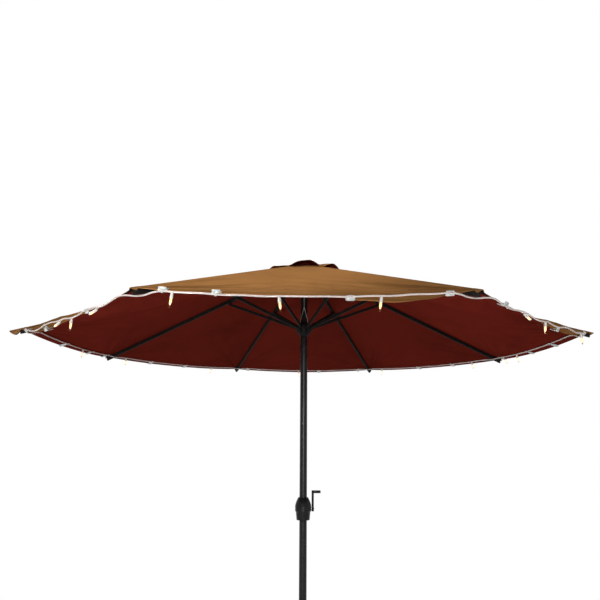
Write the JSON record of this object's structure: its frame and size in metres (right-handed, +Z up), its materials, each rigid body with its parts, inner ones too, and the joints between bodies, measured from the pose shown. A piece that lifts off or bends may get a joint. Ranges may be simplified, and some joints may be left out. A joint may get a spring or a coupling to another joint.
{
  "type": "parasol string lights",
  "caption": "Crank-lift market parasol with folding ribs, a vented cloth canopy and a clip-on string of clear mini lamps round its hem.",
  "frame": {"origin": "centre of the pole's foot", "axes": "+Z up the pole, -Y towards the viewer of the picture, +X to the viewer's right, where the crank is"},
  "size_m": [2.5376, 2.5471, 2.4498],
  "materials": {
    "frame_paint": "satin dark bronze-black",
    "black_plastic": "matte",
    "steel": "zinc plated",
    "lift_rope": "braided",
    "canopy_cloth": "woven, tan",
    "string_plastic": "white, moulded",
    "clear_glass": "clear"
  },
  "bodies": {
    "pole": {"lower_pole": "frame_paint", "foot_plug": "black_plastic", "upper_pole": "frame_paint", "crank_housing_front": "black_plastic", "crank_housing_rear": "black_plastic", "housing_screws": "steel", "top_hub": "black_plastic", "rib_pins": "steel", "top_cap": "black_plastic", "pulley_axle": "steel", "lift_cord_inner": "lift_rope"},
    "runner": {"runner": "black_plastic", "lift_cord": "lift_rope"},
    "crank": {"crank_shaft": "steel", "crank_spool": "black_plastic", "crank_arm": "black_plastic"},
    "grip": {"crank_grip": "black_plastic"},
    "pulley": {"lift_pulley": "black_plastic"},
    "rib_1": {"rib_1": "frame_paint", "canopy_1": "canopy_cloth", "light_string_1": "string_plastic", "bulbs_1": "clear_glass"},
    "strut_1": {"strut_1": "frame_paint"},
    "rib_2": {"rib_2": "frame_paint", "canopy_2": "canopy_cloth", "light_string_2": "string_plastic", "bulbs_2": "clear_glass"},
    "strut_2": {"strut_2": "frame_paint"},
    "rib_3": {"rib_3": "frame_paint", "canopy_3": "canopy_cloth", "light_string_3": "string_plastic", "bulbs_3": "clear_glass"},
    "strut_3": {"strut_3": "frame_paint"},
    "rib_4": {"rib_4": "frame_paint", "canopy_4": "canopy_cloth", "light_string_4": "string_plastic", "bulbs_4": "clear_glass"},
    "strut_4": {"strut_4": "frame_paint"},
    "rib_5": {"rib_5": "frame_paint", "canopy_5": "canopy_cloth", "light_string_5": "string_plastic", "bulbs_5": "clear_glass"},
    "strut_5": {"strut_5": "frame_paint"},
    "rib_6": {"rib_6": "frame_paint", "canopy_6": "canopy_cloth", "light_string_6": "string_plastic", "bulbs_6": "clear_glass"},
    "strut_6": {"strut_6": "frame_paint"},
    "rib_7": {"rib_7": "frame_paint", "canopy_7": "canopy_cloth", "light_string_7": "string_plastic", "bulbs_7": "clear_glass"},
    "strut_7": {"strut_7": "frame_paint"},
    "rib_8": {"rib_8": "frame_paint", "canopy_8": "canopy_cloth", "light_string_8": "string_plastic", "bulbs_8": "clear_glass"},
    "strut_8": {"strut_8": "frame_paint"}
  },
  "joints": [
    {"name": "runner_slide", "type": "slide", "parent": "pole", "child": "runner", "axis": [0, 0, -1], "range_m": [0, 0.58904], "deforming": ["canopy_1", "canopy_2", "canopy_3", "canopy_4", "canopy_5", "canopy_6", "canopy_7", "canopy_8", "light_string_1", "light_string_2", "light_string_3", "light_string_4", "light_string_5", "light_string_6", "light_string_7", "light_string_8", "bulbs_1", "bulbs_2", "bulbs_3", "bulbs_4", "bulbs_5", "bulbs_6", "bulbs_7", "bulbs_8", "lift_cord"]},
    {"name": "rib_1_hinge", "type": "hinge", "parent": "pole", "child": "rib_1", "pos_m": [0.02956, 0.01225, 2.42], "axis": [-0.3827, 0.9239, 0], "range_deg": [0, 65.58]},
    {"name": "strut_1_hinge", "type": "hinge", "parent": "rib_1", "child": "strut_1", "pos_m": [0.43368, 0.17964, 2.24665], "axis": [-0.3827, 0.9239, 0], "range_deg": [-132.26, 0]},
    {"name": "rib_2_hinge", "type": "hinge", "parent": "pole", "child": "rib_2", "pos_m": [0.01225, 0.02956, 2.42], "axis": [-0.9239, 0.3827, 0], "range_deg": [0, 65.58]},
    {"name": "strut_2_hinge", "type": "hinge", "parent": "rib_2", "child": "strut_2", "pos_m": [0.17964, 0.43368, 2.24665], "axis": [-0.9239, 0.3827, 0], "range_deg": [-132.26, 0]},
    {"name": "rib_3_hinge", "type": "hinge", "parent": "pole", "child": "rib_3", "pos_m": [-0.01225, 0.02956, 2.42], "axis": [-0.9239, -0.3827, 0], "range_deg": [0, 65.58]},
    {"name": "strut_3_hinge", "type": "hinge", "parent": "rib_3", "child": "strut_3", "pos_m": [-0.17964, 0.43368, 2.24665], "axis": [-0.9239, -0.3827, 0], "range_deg": [-132.26, 0]},
    {"name": "rib_4_hinge", "type": "hinge", "parent": "pole", "child": "rib_4", "pos_m": [-0.02956, 0.01225, 2.42], "axis": [-0.3827, -0.9239, 0], "range_deg": [0, 65.58]},
    {"name": "strut_4_hinge", "type": "hinge", "parent": "rib_4", "child": "strut_4", "pos_m": [-0.43368, 0.17964, 2.24665], "axis": [-0.3827, -0.9239, 0], "range_deg": [-132.26, 0]},
    {"name": "rib_5_hinge", "type": "hinge", "parent": "pole", "child": "rib_5", "pos_m": [-0.02956, -0.01225, 2.42], "axis": [0.3827, -0.9239, 0], "range_deg": [0, 65.58]},
    {"name": "strut_5_hinge", "type": "hinge", "parent": "rib_5", "child": "strut_5", "pos_m": [-0.43368, -0.17964, 2.24665], "axis": [0.3827, -0.9239, 0], "range_deg": [-132.26, 0]},
    {"name": "rib_6_hinge", "type": "hinge", "parent": "pole", "child": "rib_6", "pos_m": [-0.01225, -0.02956, 2.42], "axis": [0.9239, -0.3827, 0], "range_deg": [0, 65.58]},
    {"name": "strut_6_hinge", "type": "hinge", "parent": "rib_6", "child": "strut_6", "pos_m": [-0.17964, -0.43368, 2.24665], "axis": [0.9239, -0.3827, 0], "range_deg": [-132.26, 0]},
    {"name": "rib_7_hinge", "type": "hinge", "parent": "pole", "child": "rib_7", "pos_m": [0.01225, -0.02956, 2.42], "axis": [0.9239, 0.3827, 0], "range_deg": [0, 65.58]},
    {"name": "strut_7_hinge", "type": "hinge", "parent": "rib_7", "child": "strut_7", "pos_m": [0.17964, -0.43368, 2.24665], "axis": [0.9239, 0.3827, 0], "range_deg": [-132.26, 0]},
    {"name": "rib_8_hinge", "type": "hinge", "parent": "pole", "child": "rib_8", "pos_m": [0.02956, -0.01225, 2.42], "axis": [0.3827, 0.9239, 0], "range_deg": [0, 65.58]},
    {"name": "strut_8_hinge", "type": "hinge", "parent": "rib_8", "child": "strut_8", "pos_m": [0.43368, -0.17964, 2.24665], "axis": [0.3827, 0.9239, 0], "range_deg": [-132.26, 0]},
    {"name": "crank_turn", "type": "hinge", "parent": "pole", "child": "crank", "pos_m": [0, 0, 1.147], "axis": [1, 0, 0], "range_deg": [0, 2500.47]},
    {"name": "pulley_turn", "type": "hinge", "parent": "pole", "child": "pulley", "pos_m": [0, -0.014, 2.384], "axis": [1, 0, 0], "range_deg": [0, 2411.19]},
    {"name": "grip_turn", "type": "hinge", "parent": "crank", "child": "grip", "pos_m": [0, 0, 1.229], "axis": [1, 0, 0], "continuous": true}
  ],
  "couplings": [
    {"joint": "rib_1_hinge", "follows": "runner_slide", "rad_per_m": 1.9426},
    {"joint": "strut_1_hinge", "follows": "runner_slide", "rad_per_m": -3.9182},
    {"joint": "rib_2_hinge", "follows": "runner_slide", "rad_per_m": 1.9426},
    {"joint": "strut_2_hinge", "follows": "runner_slide", "rad_per_m": -3.9182},
    {"joint": "rib_3_hinge", "follows": "runner_slide", "rad_per_m": 1.9426},
    {"joint": "strut_3_hinge", "follows": "runner_slide", "rad_per_m": -3.9182},
    {"joint": "rib_4_hinge", "follows": "runner_slide", "rad_per_m": 1.9426},
    {"joint": "strut_4_hinge", "follows": "runner_slide", "rad_per_m": -3.9182},
    {"joint": "rib_5_hinge", "follows": "runner_slide", "rad_per_m": 1.9426},
    {"joint": "strut_5_hinge", "follows": "runner_slide", "rad_per_m": -3.9182},
    {"joint": "rib_6_hinge", "follows": "runner_slide", "rad_per_m": 1.9426},
    {"joint": "strut_6_hinge", "follows": "runner_slide", "rad_per_m": -3.9182},
    {"joint": "rib_7_hinge", "follows": "runner_slide", "rad_per_m": 1.9426},
    {"joint": "strut_7_hinge", "follows": "runner_slide", "rad_per_m": -3.9182},
    {"joint": "rib_8_hinge", "follows": "runner_slide", "rad_per_m": 1.9426},
    {"joint": "strut_8_hinge", "follows": "runner_slide", "rad_per_m": -3.9182},
    {"joint": "crank_turn", "follows": "runner_slide", "rad_per_m": 74.074},
    {"joint": "pulley_turn", "follows": "runner_slide", "rad_per_m": 71.429}
  ]
}
